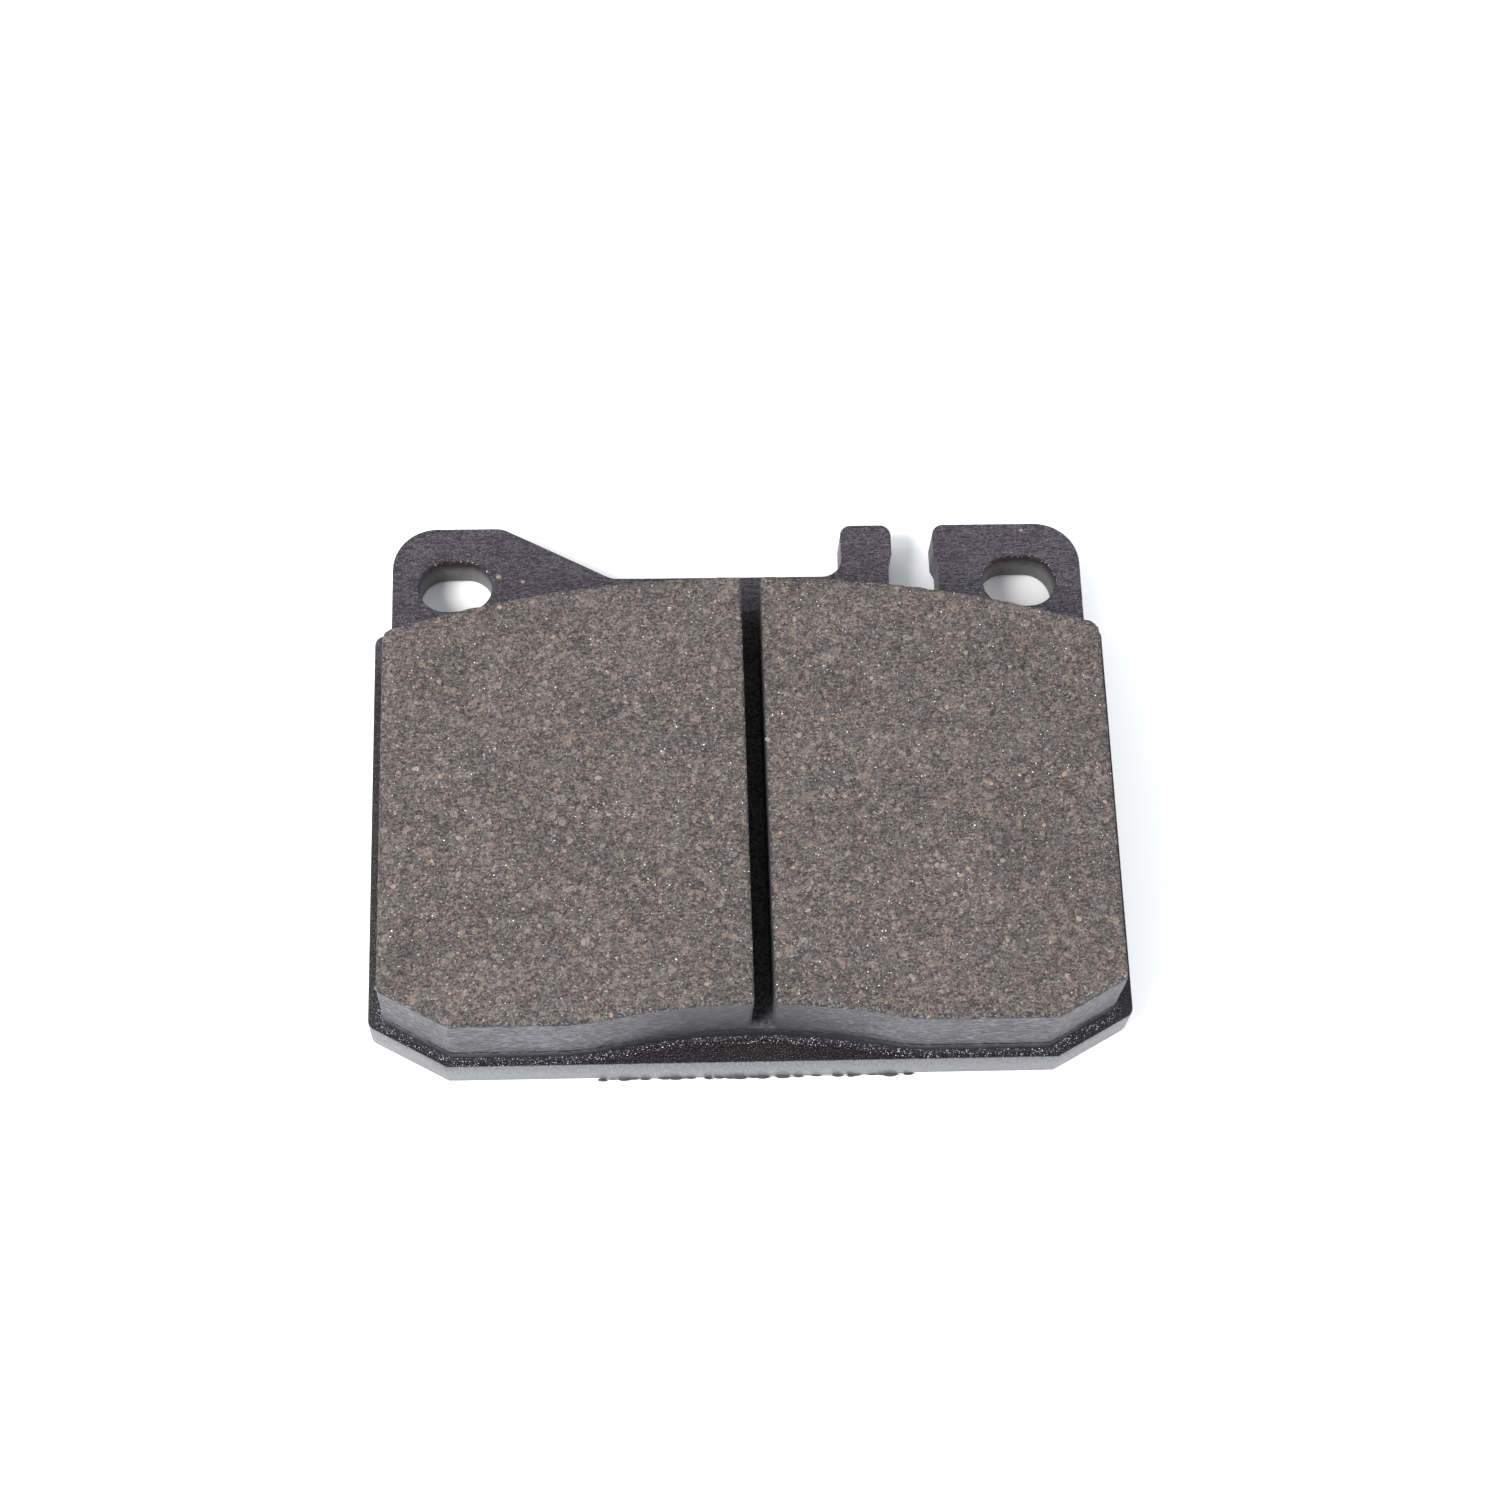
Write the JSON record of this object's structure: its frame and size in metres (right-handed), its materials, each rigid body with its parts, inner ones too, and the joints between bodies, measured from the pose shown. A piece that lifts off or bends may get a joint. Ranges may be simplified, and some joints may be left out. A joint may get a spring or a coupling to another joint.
{
  "type": "brake pad",
  "caption": "Flat-backed disc brake pad: steel plate with two slotted pin ears and a sensor slot, arched friction block with a central cooling slot.",
  "frame": {"origin": "bottom centre of the bounding box, on the outer face of the shim's rubber skin", "axes": "+X along the pad's width, +Y towards the pin ears, +Z from the back to the friction face"},
  "size_m": [0.09, 0.07, 0.0188],
  "materials": {
    "shim_rubber": "thin matt black rubber",
    "shim_steel": "cold rolled sheet",
    "shim_adhesive": "pressure sensitive adhesive",
    "plate_coating": "fine rough powder coat on pressed steel",
    "bond_film": "cured adhesive with grit",
    "underlayer": "moulded backing mix",
    "friction": "ground granular friction composite"
  },
  "bodies": {
    "root": {"shim_rubber": "shim_rubber", "shim_core": "shim_steel", "shim_adhesive": "shim_adhesive", "backing_plate": "plate_coating", "bond_film": "bond_film", "underlayer": "underlayer", "friction_block": "friction"}
  },
  "joints": []
}
